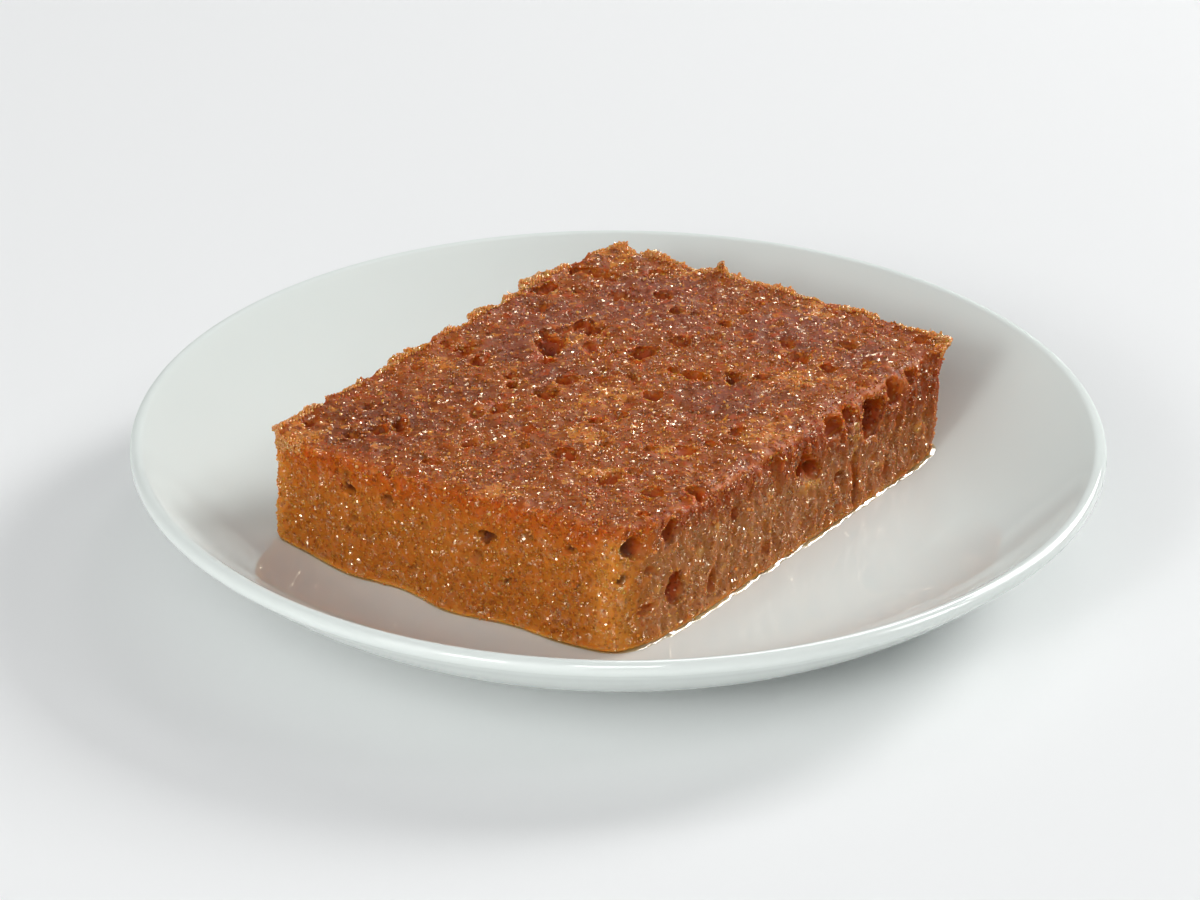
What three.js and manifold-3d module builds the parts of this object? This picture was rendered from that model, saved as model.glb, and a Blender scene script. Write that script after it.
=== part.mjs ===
// A cut slice of syrup-soaked bread sweet on a round white coupe plate, with the thin line of syrup
// that has drained round its foot. Millimetres, +Z up. The origin is the centre of the plate's foot.

import * as THREE from 'three';
import { mergeVertices } from 'three/addons/utils/BufferGeometryUtils.js';
import Module from 'manifold-3d';

const wasm = await Module();
wasm.setup();

// Plate
const PLATE_RADIUS = 95;
const LIP_RADIUS = 1.6;
const LIP_HEIGHT = 21;
const WELL_RADIUS = 58;
const WELL_HEIGHT = 6;
const WALL_DROP = 4.1;
const FOOT_RADIUS = 64.2;
const FOOT_WIDTH = 3.4;
const FOOT_EDGE = 0.5;
const FOOT_RECESS = 2.4;
const PLATE_SIDES = 64;
const WALL_STEPS = 6;
const UNDERSIDE_STEPS = 3;
const UNDERSIDE_INSET = 6;

// Slice: its four corners seen from above, and the height of its top over the table at each
const NEAR = new THREE.Vector2(-0.5, -61);
const RIGHT = new THREE.Vector2(65.5, 22.6);
const BACK = new THREE.Vector2(-2.4, 67);
const LEFT = new THREE.Vector2(-66.9, -17.8);
const TOP_AT = { near: 31.8, right: 30.6, back: 31.2, left: 29.8 };
const LENGTH_CELLS = 34;
const WIDTH_CELLS = 26;
const HEIGHT_CELLS = 6;
const CORNER_ROUND = 4;
const EDGE_ROUND = 1.1;
const TOP_RELIEF = 0.45;
const TOP_RELIEF_WAVE = 23;
const SIDE_RELIEF = 0.7;
const SIDE_RELIEF_WAVE = 13;

// How far each cut side bows out of the straight line between its corners
const LONG_FRONT_BOW = 4.8;
const LONG_FRONT_BOW_START = 0.07;
const LONG_BACK_BOW = 1.2;
const SHORT_FRONT_BOW = 1;
const SHORT_BACK_BOW = 3.8;
const SHORT_BACK_FADE = 0.6;
const LONG_FOOT_SPREAD = 1.3;
const FOOT_SPREAD = 1.4;
const FOOT_WAVE = 1.1;
const FOOT_WAVES_PER_SIDE = 2.95;
const FOOT_WAVE_START = 0.43;

// How far the foot stands out of plumb under two of the corners
const NEAR_FOOT = new THREE.Vector2(-2, -1);
const RIGHT_FOOT = new THREE.Vector2(-2.4, -0.2);

// Gaps between pieces, and the syrup line
const REST_GAP = 0.35;
const SIDE_GAP = 0.4;
const SYRUP_HEIGHT = 1;
const SYRUP_WIDTH = 1.5;
const SYRUP_WAVER = 0.5;

const SLICE_LENGTH = NEAR.distanceTo(RIGHT);
const SLICE_WIDTH = NEAR.distanceTo(LEFT);
const SLICE_HEIGHT = TOP_AT.near - WELL_HEIGHT;
const MIDDLE = NEAR.clone().add(RIGHT).add(BACK).add(LEFT).multiplyScalar(0.25);
const LENGTH_WAY = RIGHT.clone().sub(NEAR).normalize();
const WIDTH_WAY = LEFT.clone().sub(NEAR).normalize();
const SAME_PLACE = 1e-4;

// A repeatable random draw between 0 and 1
function seededDraw(seed) {
  let state = seed;
  return () => {
    state = (state + 0x6d2b79f5) | 0;
    let mixed = Math.imul(state ^ (state >>> 15), 1 | state);
    mixed = (mixed + Math.imul(mixed ^ (mixed >>> 7), 61 | mixed)) ^ mixed;
    return ((mixed ^ (mixed >>> 14)) >>> 0) / 4294967296;
  };
}

// A smooth uneven field between about -1 and 1, made of a few waves that cross each other
function unevenness(x, y, wavelength) {
  const k = (2 * Math.PI) / wavelength;
  const first = Math.sin(k * (x + 0.31 * y) + 0.7);
  const second = Math.sin(k * (1.27 * y - 0.42 * x) + 2.1);
  const third = Math.sin(k * 1.83 * (0.8 * x - 0.6 * y) + 4.4);
  return (first + second + third) / 2.4;
}

// Height of the plate's eating surface at a distance from its centre
function wellHeight(radius) {
  const rise = LIP_HEIGHT + LIP_RADIUS * 0.8 - WELL_HEIGHT;
  const reach = Math.max(0, radius - WELL_RADIUS) / (PLATE_RADIUS - LIP_RADIUS - WELL_RADIUS);
  return WELL_HEIGHT + rise * reach * reach;
}

// Plate section from the centre of the well, over the lip, to the centre of the underside
function plateSection() {
  const points = [new THREE.Vector2(0, WELL_HEIGHT), new THREE.Vector2(WELL_RADIUS, WELL_HEIGHT)];
  const wallEnd = PLATE_RADIUS - 2 * LIP_RADIUS;
  for (let step = 1; step <= WALL_STEPS; step += 1) {
    const radius = WELL_RADIUS + ((wallEnd - WELL_RADIUS) * step) / WALL_STEPS;
    points.push(new THREE.Vector2(radius, wellHeight(radius)));
  }
  for (let turn = 90; turn >= -45; turn -= 45) {
    const angle = THREE.MathUtils.degToRad(turn);
    const radius = PLATE_RADIUS - LIP_RADIUS + LIP_RADIUS * Math.cos(angle);
    points.push(new THREE.Vector2(radius, LIP_HEIGHT + LIP_RADIUS * Math.sin(angle)));
  }
  for (let step = 0; step <= UNDERSIDE_STEPS; step += 1) {
    const start = PLATE_RADIUS - UNDERSIDE_INSET;
    const radius = THREE.MathUtils.lerp(start, FOOT_RADIUS + FOOT_EDGE, step / UNDERSIDE_STEPS);
    points.push(new THREE.Vector2(radius, wellHeight(radius) - WALL_DROP));
  }
  const footInside = FOOT_RADIUS - FOOT_WIDTH;
  points.push(
    new THREE.Vector2(FOOT_RADIUS, FOOT_EDGE),
    new THREE.Vector2(FOOT_RADIUS - FOOT_EDGE, 0),
    new THREE.Vector2(footInside + FOOT_EDGE, 0),
    new THREE.Vector2(footInside, FOOT_EDGE),
    new THREE.Vector2(footInside - FOOT_EDGE, FOOT_RECESS),
    new THREE.Vector2(0, FOOT_RECESS),
  );
  return points;
}

function plateGeometry() {
  const geometry = new THREE.LatheGeometry(plateSection().reverse(), PLATE_SIDES);
  return geometry.rotateX(Math.PI / 2);
}

// Corners of the cut slice are rounded: a square corner's cells are wrapped onto a quarter disc
function roundedPlan(u, v) {
  const along = u * SLICE_LENGTH;
  const across = v * SLICE_WIDTH;
  const alongCore = THREE.MathUtils.clamp(along, CORNER_ROUND, SLICE_LENGTH - CORNER_ROUND);
  const acrossCore = THREE.MathUtils.clamp(across, CORNER_ROUND, SLICE_WIDTH - CORNER_ROUND);
  const out = new THREE.Vector2(along - alongCore, across - acrossCore);
  if (out.x !== 0 && out.y !== 0) {
    out.setLength(Math.max(Math.abs(out.x), Math.abs(out.y)));
  }
  return new THREE.Vector2((alongCore + out.x) / SLICE_LENGTH, (acrossCore + out.y) / SLICE_WIDTH);
}

// How far each side bows out, at a place from 0 to 1 along it
function longFrontBow(u, height) {
  const bow = LONG_FRONT_BOW * (1 - Math.exp(-u / LONG_FRONT_BOW_START)) * (1 - u);
  return bow + LONG_FOOT_SPREAD * (1 - height) ** 2;
}

function shortFrontBow(v, height) {
  const middle = Math.sin(Math.PI * v);
  const wave = Math.cos(2 * Math.PI * FOOT_WAVES_PER_SIDE * (v - FOOT_WAVE_START));
  const footShape = (FOOT_SPREAD + FOOT_WAVE * wave) * (1 - height) ** 2;
  return middle * (SHORT_FRONT_BOW + footShape);
}

function longBackBow(u) {
  return LONG_BACK_BOW * Math.sqrt(Math.sin(Math.PI * u));
}

function shortBackBow(v) {
  return SHORT_BACK_BOW * Math.sqrt(Math.sin(Math.PI * v)) * (1 - SHORT_BACK_FADE * v);
}

// Seen from above: u runs from the near end to the far end, v from the right side to the left
function planPoint(u, v, height) {
  const place = roundedPlan(u, v);
  const near = NEAR.clone().lerp(RIGHT, place.x);
  const far = LEFT.clone().lerp(BACK, place.x);
  const point = near.lerp(far, place.y);
  const low = (1 - height) * (1 - place.y);
  point.addScaledVector(NEAR_FOOT, low * (1 - place.x));
  point.addScaledVector(RIGHT_FOOT, low * place.x);
  point.addScaledVector(WIDTH_WAY, -longFrontBow(place.x, height) * (1 - place.y) ** 2);
  point.addScaledVector(WIDTH_WAY, longBackBow(place.x) * place.y ** 2);
  point.addScaledVector(LENGTH_WAY, -shortFrontBow(place.y, height) * (1 - place.x) ** 4);
  point.addScaledVector(LENGTH_WAY, shortBackBow(place.y) * place.x ** 4);
  return point;
}

function restHeight(point) {
  return wellHeight(point.length()) + REST_GAP;
}

function topHeight(u, v) {
  const front = THREE.MathUtils.lerp(TOP_AT.near, TOP_AT.right, u);
  const rear = THREE.MathUtils.lerp(TOP_AT.left, TOP_AT.back, u);
  const relief = TOP_RELIEF * unevenness(u * SLICE_LENGTH, v * SLICE_WIDTH, TOP_RELIEF_WAVE);
  return THREE.MathUtils.lerp(front, rear, v) + relief;
}

function isOnCutSide(u, v) {
  const nearest = Math.min(u, 1 - u, v, 1 - v);
  return nearest < SAME_PLACE;
}

// How far the cut side is dented at a place on it: never outwards, and not at the foot
function sideDent(u, v, height) {
  const travel = (u - v) * SLICE_LENGTH;
  const uneven = unevenness(travel, height * SLICE_HEIGHT, SIDE_RELIEF_WAVE);
  return SIDE_RELIEF * (0.5 + 0.5 * uneven);
}

// A point of the slice's skin: height runs from 0 at the foot to 1 at the top
function slicePoint(u, v, height) {
  const place = roundedPlan(u, v);
  const plan = planPoint(u, v, height);
  const foot = restHeight(plan);
  const top = topHeight(place.x, place.y);
  const point = new THREE.Vector3(plan.x, plan.y, THREE.MathUtils.lerp(foot, top, height));
  if (isOnCutSide(u, v) && height > SAME_PLACE) {
    const inward = new THREE.Vector3(MIDDLE.x - plan.x, MIDDLE.y - plan.y, 0).normalize();
    point.addScaledVector(inward, sideDent(u, v, height));
    if (height > 1 - SAME_PLACE) {
      point.addScaledVector(inward, EDGE_ROUND);
      point.z -= EDGE_ROUND;
    }
  }
  return point;
}

// Geometry to solid and back, for cutting and joining
function toSolid(geometry) {
  geometry.deleteAttribute('normal');
  geometry.deleteAttribute('uv');
  const merged = mergeVertices(geometry, SAME_PLACE);
  return new wasm.Manifold(
    new wasm.Mesh({
      numProp: 3,
      vertProperties: new Float32Array(merged.attributes.position.array),
      triVerts: new Uint32Array(merged.index.array),
    }),
  );
}

function toGeometry(solid) {
  const mesh = solid.getMesh();
  const geometry = new THREE.BufferGeometry();
  geometry.setAttribute('position', new THREE.BufferAttribute(mesh.vertProperties, 3));
  geometry.setIndex(new THREE.BufferAttribute(mesh.triVerts, 1));
  geometry.computeVertexNormals();
  return geometry;
}

function sliceBody() {
  const geometry = new THREE.BoxGeometry(1, 1, 1, LENGTH_CELLS, WIDTH_CELLS, HEIGHT_CELLS);
  const position = geometry.attributes.position;
  for (let i = 0; i < position.count; i += 1) {
    const skin = slicePoint(position.getX(i) + 0.5, position.getY(i) + 0.5, position.getZ(i) + 0.5);
    position.setXYZ(i, skin.x, skin.y, skin.z);
  }
  return toSolid(geometry);
}

// A rounded lump: the shape of a pore to cut or a crumb to add, rounder when it is a large one
function lump(centre, radii, turn) {
  const facets = radii.x + radii.y + radii.z > LARGE_LUMP ? 1 : 0;
  const geometry = new THREE.IcosahedronGeometry(1, facets);
  geometry.scale(radii.x, radii.y, radii.z);
  geometry.rotateZ(turn);
  geometry.translate(centre.x, centre.y, centre.z);
  return toSolid(geometry);
}

// Large pores in the top: distance along and across in millimetres, then their half sizes
const TOP_PORES = [
  { along: 63, across: 60.6, long: 3.4, wide: 2.4, deep: 3.2 },
  { along: 73.5, across: 60.6, long: 1.9, wide: 1.5, deep: 2 },
  { along: 50.5, across: 48.4, long: 1.9, wide: 1.6, deep: 2.2 },
  { along: 68.5, across: 44, long: 2.3, wide: 2, deep: 1.9 },
  { along: 65.5, across: 30.6, long: 1.6, wide: 2.7, deep: 2.2 },
  { along: 68.5, across: 24, long: 1.9, wide: 1.6, deep: 1.8 },
  { along: 83, across: 19.6, long: 2.1, wide: 2.1, deep: 1.6 },
  { along: 92.5, across: 14.6, long: 1.8, wide: 1.9, deep: 1.5 },
  { along: 49, across: 66.6, long: 2, wide: 1.5, deep: 1.7 },
  { along: 88, across: 26, long: 1.6, wide: 1.5, deep: 1.5 },
  { along: 23.5, across: 30, long: 1.9, wide: 2.3, deep: 1.8 },
  { along: 36.5, across: 14, long: 1.7, wide: 1.6, deep: 1.6 },
];

// Large pores in the long front side: distance along it and height above the foot
const LONG_SIDE_PORES = [
  { along: 79.8, up: 18.6, long: 3.8, high: 4.2, deep: 5.5 },
  { along: 55.6, up: 17.3, long: 2.9, high: 2, deep: 4.6 },
  { along: 59.8, up: 15.6, long: 3, high: 2, deep: 4.6 },
  { along: 69, up: 10, long: 1.8, high: 1.4, deep: 1.8 },
  { along: 15, up: 9.3, long: 2.5, high: 3.1, deep: 2.2 },
  { along: 13.4, up: 21.6, long: 2.2, high: 2, deep: 1.8 },
  { along: 67, up: 21.4, long: 3.2, high: 1.9, deep: 1.7 },
];

// Pores in the short front side: distance from the near corner and height above the foot
const SHORT_SIDE_PORES = [
  { along: 60.4, up: 17.8, long: 1, high: 0.8, deep: 2.2 },
  { along: 28.2, up: 16.6, long: 1.1, high: 0.8, deep: 2.2 },
  { along: 50.5, up: 18.5, long: 1.8, high: 1.4, deep: 1 },
];

const LARGE_LUMP = 5.6;
const SMALL_PORES = 22;
const SMALL_PORE_SIZE = [0.9, 1.6];
const RIM_KEPT_WHOLE = 5;

const LENGTH_TURN = LENGTH_WAY.angle();

function topPore({ along, across, long, wide, deep }) {
  const u = along / SLICE_LENGTH;
  const v = across / SLICE_WIDTH;
  const plan = planPoint(u, v, 1);
  const centre = new THREE.Vector3(plan.x, plan.y, topHeight(u, v));
  return lump(centre, new THREE.Vector3(long, wide, deep), LENGTH_TURN);
}

function longSidePore({ along, up, long, high, deep }) {
  const plan = planPoint(along / SLICE_LENGTH, 0, 0.5);
  const centre = new THREE.Vector3(plan.x, plan.y, restHeight(plan) + up);
  return lump(centre, new THREE.Vector3(long, deep, high), LENGTH_TURN);
}

function shortSidePore({ along, up, long, high, deep }) {
  const plan = planPoint(0, along / SLICE_WIDTH, 0.5);
  const centre = new THREE.Vector3(plan.x, plan.y, restHeight(plan) + up);
  return lump(centre, new THREE.Vector3(deep, long, high), LENGTH_TURN);
}

function smallPores() {
  const draw = seededDraw(11);
  const pores = [];
  for (let i = 0; i < SMALL_PORES; i += 1) {
    const size = THREE.MathUtils.lerp(SMALL_PORE_SIZE[0], SMALL_PORE_SIZE[1], draw());
    const along = THREE.MathUtils.lerp(RIM_KEPT_WHOLE, SLICE_LENGTH - RIM_KEPT_WHOLE, draw());
    const across = THREE.MathUtils.lerp(RIM_KEPT_WHOLE, SLICE_WIDTH - RIM_KEPT_WHOLE, draw());
    pores.push(topPore({ along, across, long: size, wide: size * 0.8, deep: size }));
  }
  return pores;
}

// Torn flakes that stand up at the back edges: place round the edge as u, v, half sizes and turn
const FLAKES = [
  { u: 1, v: 0.03, long: 2, wide: 1.5, high: 0.9, turn: 0.4 },
  { u: 1, v: 0.66, long: 2.1, wide: 1.2, high: 1.4, turn: 0.9 },
  { u: 1, v: 0.92, long: 3.4, wide: 2.6, high: 1, turn: 2.2 },
  { u: 0.82, v: 1, long: 2.3, wide: 1.7, high: 0.9, turn: 0.2 },
];

const EDGE_CRUMBS = 28;
const EDGE_CRUMB_SIZE = [0.9, 1.6];
const SHORT_BACK_SHARE = 0.43;

function flake({ u, v, long, wide, high, turn }) {
  const skin = slicePoint(u, v, 1);
  skin.z += EDGE_ROUND * 0.3;
  return lump(skin, new THREE.Vector3(long, wide, high), turn);
}

// Crumbs along the two back edges
function edgeCrumbs() {
  const draw = seededDraw(5);
  const crumbs = [];
  for (let i = 0; i < EDGE_CRUMBS; i += 1) {
    const travel = (i + draw() * 0.8) / EDGE_CRUMBS;
    const size = THREE.MathUtils.lerp(EDGE_CRUMB_SIZE[0], EDGE_CRUMB_SIZE[1], draw());
    const onShortBack = travel < SHORT_BACK_SHARE;
    const u = onShortBack ? 1 : 1 - (travel - SHORT_BACK_SHARE) / (1 - SHORT_BACK_SHARE);
    const v = onShortBack ? travel / SHORT_BACK_SHARE : 1;
    const skin = slicePoint(u, v, 1);
    crumbs.push(lump(skin, new THREE.Vector3(size * 1.3, size, size * 0.7), draw() * Math.PI));
  }
  return crumbs;
}

function sliceGeometry() {
  let solid = sliceBody();
  for (const crumb of [...edgeCrumbs(), ...FLAKES.map(flake)]) {
    solid = solid.add(crumb);
  }
  const cuts = [
    ...TOP_PORES.map(topPore),
    ...LONG_SIDE_PORES.map(longSidePore),
    ...SHORT_SIDE_PORES.map(shortSidePore),
    ...smallPores(),
  ];
  for (const cut of cuts) {
    solid = solid.subtract(cut);
  }
  return toGeometry(solid);
}

// The slice's foot outline, cell by cell: along the long front, short back, long back, short front
const FOOT_CELLS = 2 * (LENGTH_CELLS + WIDTH_CELLS);

function footCell(index) {
  const cell = (index + FOOT_CELLS) % FOOT_CELLS;
  if (cell < LENGTH_CELLS) {
    return planPoint(cell / LENGTH_CELLS, 0, 0);
  }
  if (cell < LENGTH_CELLS + WIDTH_CELLS) {
    return planPoint(1, (cell - LENGTH_CELLS) / WIDTH_CELLS, 0);
  }
  if (cell < 2 * LENGTH_CELLS + WIDTH_CELLS) {
    return planPoint(1 - (cell - LENGTH_CELLS - WIDTH_CELLS) / LENGTH_CELLS, 1, 0);
  }
  return planPoint(0, 1 - (cell - 2 * LENGTH_CELLS - WIDTH_CELLS) / WIDTH_CELLS, 0);
}

// Section of the syrup line: it climbs the slice's side and thins out over the plate
const SYRUP_SECTION = [
  new THREE.Vector2(0, 0),
  new THREE.Vector2(1, 0),
  new THREE.Vector2(0.8, 0.38),
  new THREE.Vector2(0.4, 0.75),
  new THREE.Vector2(0, 1),
  new THREE.Vector2(0, 0),
];

function syrupGeometry() {
  const ringRadius = 10;
  const section = SYRUP_SECTION.map((point) => new THREE.Vector2(point.x + ringRadius, point.y));
  const geometry = new THREE.LatheGeometry(section, FOOT_CELLS);
  geometry.rotateX(Math.PI / 2);
  const position = geometry.attributes.position;
  for (let i = 0; i < position.count; i += 1) {
    const x = position.getX(i);
    const y = position.getY(i);
    const cell = Math.round((Math.atan2(y, x) / (2 * Math.PI)) * FOOT_CELLS);
    const foot = footCell(cell);
    const tangent = footCell(cell + 1).sub(footCell(cell - 1)).normalize();
    const outward = new THREE.Vector2(tangent.y, -tangent.x);
    const width = SYRUP_WIDTH + SYRUP_WAVER * unevenness(foot.x, foot.y, 31);
    const reach = SIDE_GAP + (Math.hypot(x, y) - ringRadius) * width;
    const plan = foot.addScaledVector(outward, reach);
    position.setXYZ(i, plan.x, plan.y, restHeight(plan) + position.getZ(i) * SYRUP_HEIGHT);
  }
  return geometry;
}

function piece(name, geometry, look) {
  const mesh = new THREE.Mesh(geometry, new THREE.MeshStandardMaterial(look));
  mesh.name = name;
  return mesh;
}

const GLAZE = { color: 0xe3e5e0, roughness: 0.12, metalness: 0 };
const SOAKED_CRUMB = { color: 0xa85a1c, roughness: 0.35, metalness: 0 };
const SYRUP = { color: 0xc98a3a, roughness: 0.05, metalness: 0 };

const dessert = new THREE.Group();
dessert.add(
  piece('plate', plateGeometry(), GLAZE),
  piece('kadayif_slice', sliceGeometry(), SOAKED_CRUMB),
  piece('syrup_line', syrupGeometry(), SYRUP),
);

export default dessert;
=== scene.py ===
"""A cut slice of syrup-soaked bread sweet on a round white coupe plate, with a thin line of syrup."""

import math
import random

import bmesh
import bpy
import numpy as np
from mathutils import Matrix, Vector, noise


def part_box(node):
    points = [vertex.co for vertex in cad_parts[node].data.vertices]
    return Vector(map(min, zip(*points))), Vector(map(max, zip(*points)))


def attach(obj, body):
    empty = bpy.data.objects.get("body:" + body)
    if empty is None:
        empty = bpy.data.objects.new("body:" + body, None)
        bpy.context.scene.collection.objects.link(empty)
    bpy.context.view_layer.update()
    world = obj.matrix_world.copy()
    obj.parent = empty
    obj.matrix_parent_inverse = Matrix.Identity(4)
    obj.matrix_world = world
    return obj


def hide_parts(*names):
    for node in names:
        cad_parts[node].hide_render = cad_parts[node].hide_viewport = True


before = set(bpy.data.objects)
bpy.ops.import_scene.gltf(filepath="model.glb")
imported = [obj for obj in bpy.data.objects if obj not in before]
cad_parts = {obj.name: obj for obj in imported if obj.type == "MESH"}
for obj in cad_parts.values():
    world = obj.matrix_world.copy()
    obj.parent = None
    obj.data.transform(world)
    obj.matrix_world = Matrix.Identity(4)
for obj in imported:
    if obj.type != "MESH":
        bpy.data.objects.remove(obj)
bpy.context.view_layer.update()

MM = 0.001

# Camera, from the plate's outline in the photograph
LENS_MM = 153.5
SENSOR_MM = 36.0
CAMERA_DISTANCE = 1.0
CAMERA_RISE = math.radians(26.715)
CAMERA_ROLL = math.radians(0.203)
CAMERA_TARGET = Vector((-3.56, 0.0, 17.78)) * MM

# Plate
PLATE_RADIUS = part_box("plate")[1][0]
LIP_RADIUS = 1.6 * MM
LIP_HEIGHT = 21.0 * MM
LIP_TURN = math.radians(41)
LIP_SIDE = PLATE_RADIUS - LIP_RADIUS - LIP_RADIUS * math.sin(LIP_TURN)
WELL_RADIUS = 58.0 * MM
WELL_HEIGHT = 6.0 * MM
WELL_BLEND = 5.0 * MM
WALL_DROP = 4.1 * MM
FOOT_RADIUS = 64.2 * MM
FOOT_WIDTH = 3.4 * MM
FOOT_EDGE = 0.5 * MM
FOOT_RECESS = 2.4 * MM
PLATE_STEPS = 240

# Slice: its corners seen from above, and the height of its top over the table at each
NEAR = np.array((-0.5, -61.0)) * MM
RIGHT = np.array((65.5, 22.6)) * MM
BACK = np.array((-2.4, 67.0)) * MM
LEFT = np.array((-66.9, -17.8)) * MM
TOP_NEAR = 31.8 * MM
TOP_RIGHT = 30.6 * MM
TOP_BACK = 31.2 * MM
TOP_LEFT = 29.8 * MM
CORNER_ROUND = 2.6 * MM
REST_GAP = 0.1 * MM
SLAB_CUTS = 63
VOXEL = 0.56 * MM
PORE_VOXEL = 0.35 * MM
WEAR_ROUNDS = 16
SOFTEN_ROUNDS = 40

# How far each cut side bows out of the straight line between its corners
LONG_FRONT_BOW = 4.8 * MM
LONG_FRONT_BOW_START = 0.07
LONG_BACK_BOW = 1.2 * MM
SHORT_FRONT_BOW = 1.0 * MM
SHORT_BACK_BOW = 3.8 * MM
SHORT_BACK_FADE = 0.6
FOOT_SPREAD = 1.4 * MM
FOOT_WAVE = 1.1 * MM
FOOT_WAVES_PER_SIDE = 2.95
FOOT_WAVE_START = 0.43

# How far the foot stands out of plumb under two of the corners
NEAR_FOOT = np.array((-2.0, -1.0)) * MM
RIGHT_FOOT = np.array((-2.4, -0.2)) * MM
LONG_FOOT_SPREAD = 1.3 * MM

# Rounding of the edge between the top and the long front side
EDGE_ROUND_LEAST = 1.0 * MM
EDGE_ROUND_MORE = 3.2 * MM
EDGE_ROUND_START = (0.04, 0.2)
EDGE_ROUND_END = (0.99, 0.88)

# Guards against a division by nothing, and against a point that can't be drawn
SHORTEST = 1e-12
LEAST_CHANCE = 1e-9

# Points closer than this are one point
SAME_PLACE = 1e-6

SLICE_LENGTH = float(np.linalg.norm(RIGHT - NEAR))
SLICE_WIDTH = float(np.linalg.norm(LEFT - NEAR))
LENGTH_WAY = (RIGHT - NEAR) / SLICE_LENGTH
WIDTH_WAY = (LEFT - NEAR) / SLICE_WIDTH
SLICE_TURN = math.atan2(LENGTH_WAY[1], LENGTH_WAY[0])


def smooth_step(low, high, value):
    """0 at low, 1 at high, and a smooth change between; low may be the greater of the two."""
    share = np.clip((value - low) / (high - low), 0.0, 1.0)
    return share * share * (3.0 - 2.0 * share)


def well_height(radius):
    """Height of the plate's eating surface at a distance from its centre."""
    rise = LIP_HEIGHT + LIP_RADIUS * math.cos(LIP_TURN) - WELL_HEIGHT
    past = radius - WELL_RADIUS
    reach = 0.5 * (past + np.sqrt(past * past + WELL_BLEND * WELL_BLEND))
    full = 0.5 * (LIP_SIDE - WELL_RADIUS + math.hypot(LIP_SIDE - WELL_RADIUS, WELL_BLEND))
    return WELL_HEIGHT + rise * (reach / full) ** 2


def rounded_plan(u, v):
    """Wraps the corners of the slice's square plan onto round ones."""
    along = u * SLICE_LENGTH
    across = v * SLICE_WIDTH
    along_core = np.clip(along, CORNER_ROUND, SLICE_LENGTH - CORNER_ROUND)
    across_core = np.clip(across, CORNER_ROUND, SLICE_WIDTH - CORNER_ROUND)
    dx = along - along_core
    dy = across - across_core
    length = np.maximum(np.hypot(dx, dy), SHORTEST)
    scale = np.where((dx != 0) & (dy != 0), np.maximum(abs(dx), abs(dy)) / length, 1.0)
    return (along_core + dx * scale) / SLICE_LENGTH, (across_core + dy * scale) / SLICE_WIDTH


def plan_point(u, v, height):
    """Seen from above: u runs from the near end to the far end, v from the right side to the left."""
    u, v = rounded_plan(u, v)
    near = NEAR + np.multiply.outer(u, RIGHT - NEAR)
    far = LEFT + np.multiply.outer(u, BACK - LEFT)
    point = near + (far - near) * np.expand_dims(v, -1)
    low = (1.0 - height) * (1.0 - v)
    point = point + np.multiply.outer(low * (1.0 - u), NEAR_FOOT) + np.multiply.outer(low * u, RIGHT_FOOT)
    middle = np.sin(np.pi * np.clip(v, 0.0, 1.0))
    wave = np.cos(2 * np.pi * FOOT_WAVES_PER_SIDE * (v - FOOT_WAVE_START))
    foot_shape = (FOOT_SPREAD + FOOT_WAVE * wave) * (1.0 - height) ** 2
    long_front = LONG_FRONT_BOW * (1.0 - np.exp(-u / LONG_FRONT_BOW_START)) * (1.0 - u)
    long_back = LONG_BACK_BOW * np.sqrt(np.sin(np.pi * np.clip(u, 0.0, 1.0)))
    short_front = middle * (SHORT_FRONT_BOW + foot_shape)
    short_back = SHORT_BACK_BOW * np.sqrt(middle) * (1.0 - SHORT_BACK_FADE * v)
    long_front = long_front + LONG_FOOT_SPREAD * (1.0 - height) ** 2
    across = long_back * v ** 2 - long_front * (1.0 - v) ** 2
    along = short_back * u ** 4 - short_front * (1.0 - u) ** 4
    return point + np.multiply.outer(across, WIDTH_WAY) + np.multiply.outer(along, LENGTH_WAY)


def top_height(u, v):
    front = TOP_NEAR + (TOP_RIGHT - TOP_NEAR) * u
    rear = TOP_LEFT + (TOP_BACK - TOP_LEFT) * u
    return front + (rear - front) * v


def noise_at(points, size, seed):
    """Smooth noise between -1 and 1 at each point, with lumps of about the given size."""
    shift = Vector((seed * 7.31, seed * 3.17, seed * 5.71))
    return np.array([noise.noise(Vector(p) / size + shift) for p in points])


def coordinates(mesh, of="co"):
    values = np.empty(len(mesh.vertices) * 3, dtype=np.float32)
    mesh.vertices.foreach_get(of, values)
    return values.reshape(-1, 3).astype(float)


def set_coordinates(mesh, points):
    mesh.vertices.foreach_set("co", points.astype(np.float32).ravel())
    mesh.update()


def piece_from(bm, name):
    """Turns a bmesh into an object in the scene."""
    mesh = bpy.data.meshes.new(name)
    bm.to_mesh(mesh)
    bm.free()
    piece = bpy.data.objects.new(name, mesh)
    bpy.context.scene.collection.objects.link(piece)
    return piece


def apply_modifiers(piece):
    graph = bpy.context.evaluated_depsgraph_get()
    shaped = bpy.data.meshes.new_from_object(piece.evaluated_get(graph))
    piece.modifiers.clear()
    old = piece.data
    piece.data = shaped
    bpy.data.meshes.remove(old)


def remesh(piece, voxel):
    """Rebuilds the surface as even cells, which joins whatever overlaps."""
    modifier = piece.modifiers.new("voxels", "REMESH")
    modifier.mode = "VOXEL"
    modifier.voxel_size = voxel
    apply_modifiers(piece)


def drop_loose_bits(piece):
    """Deletes what the pores cut free, and keeps the largest part."""
    bm = bmesh.new()
    bm.from_mesh(piece.data)
    waiting = set(bm.verts)
    parts = []
    while waiting:
        reached = [waiting.pop()]
        for vert in reached:
            beside = waiting.intersection(edge.other_vert(vert) for edge in vert.link_edges)
            waiting -= beside
            reached.extend(beside)
        parts.append(reached)
    parts.sort(key=len)
    bmesh.ops.delete(bm, geom=[vert for part in parts[:-1] for vert in part], context="VERTS")
    bm.to_mesh(piece.data)
    bm.free()


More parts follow.
